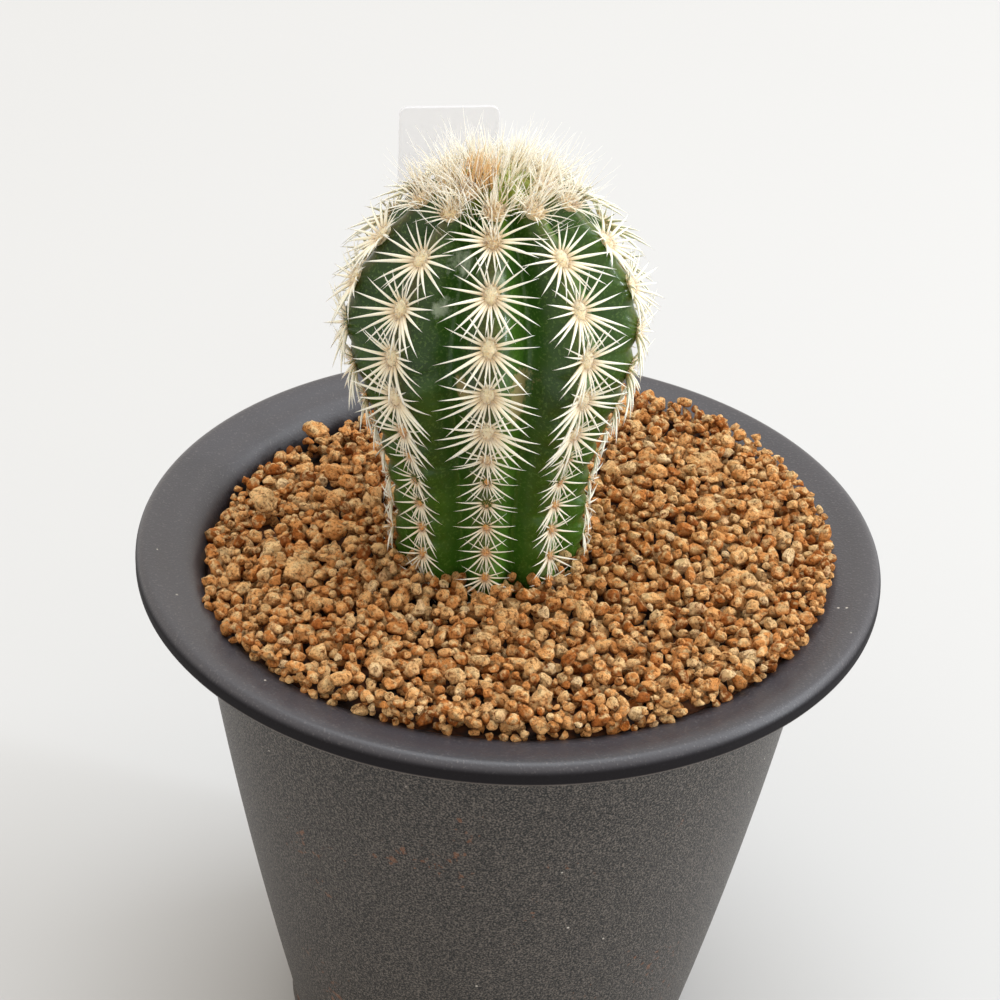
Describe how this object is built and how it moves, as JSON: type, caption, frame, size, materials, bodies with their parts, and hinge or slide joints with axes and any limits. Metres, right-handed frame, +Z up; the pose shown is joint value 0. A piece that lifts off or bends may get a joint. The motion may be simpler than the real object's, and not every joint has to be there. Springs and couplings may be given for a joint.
{
  "type": "potted cactus",
  "caption": "Short ribbed columnar cactus with rows of comb-like white spines, in a round dark plastic pot filled with tan grit, with a blank plant label.",
  "frame": {"origin": "centre of the pot's foot, on the plane that the pot stands on", "axes": "+Z up along the pot's axis towards the cactus; -Y is the front, which one rib of the cactus faces; the plant label stands behind the stem, towards +Y"},
  "size_m": [0.09, 0.09, 0.1267],
  "materials": {
    "pot_plastic": "matte",
    "drainage_stone": "matte",
    "grit": "matte",
    "cactus_skin": "satin",
    "spine": "satin",
    "label_plastic": "satin"
  },
  "bodies": {
    "root": {"pot": "pot_plastic", "drainage_stones": "drainage_stone", "grit_bed": "grit", "cactus_stem": "cactus_skin", "crown_spine_tuft": "spine", "plant_label": "label_plastic", "spine_row_1": "spine", "spine_row_2": "spine", "spine_row_3": "spine", "spine_row_4": "spine", "spine_row_5": "spine", "spine_row_6": "spine", "spine_row_7": "spine", "spine_row_8": "spine", "spine_row_9": "spine", "surface_granule_1": "grit", "surface_granule_2": "grit", "surface_granule_3": "grit", "surface_granule_4": "grit", "surface_granule_5": "grit", "surface_granule_6": "grit", "surface_granule_7": "grit", "surface_granule_8": "grit", "surface_granule_9": "grit", "surface_granule_10": "grit", "surface_granule_11": "grit", "surface_granule_12": "grit", "surface_granule_13": "grit", "surface_granule_14": "grit", "surface_granule_15": "grit", "surface_granule_16": "grit", "surface_granule_17": "grit", "surface_granule_18": "grit", "surface_granule_19": "grit", "surface_granule_20": "grit"}
  },
  "joints": []
}
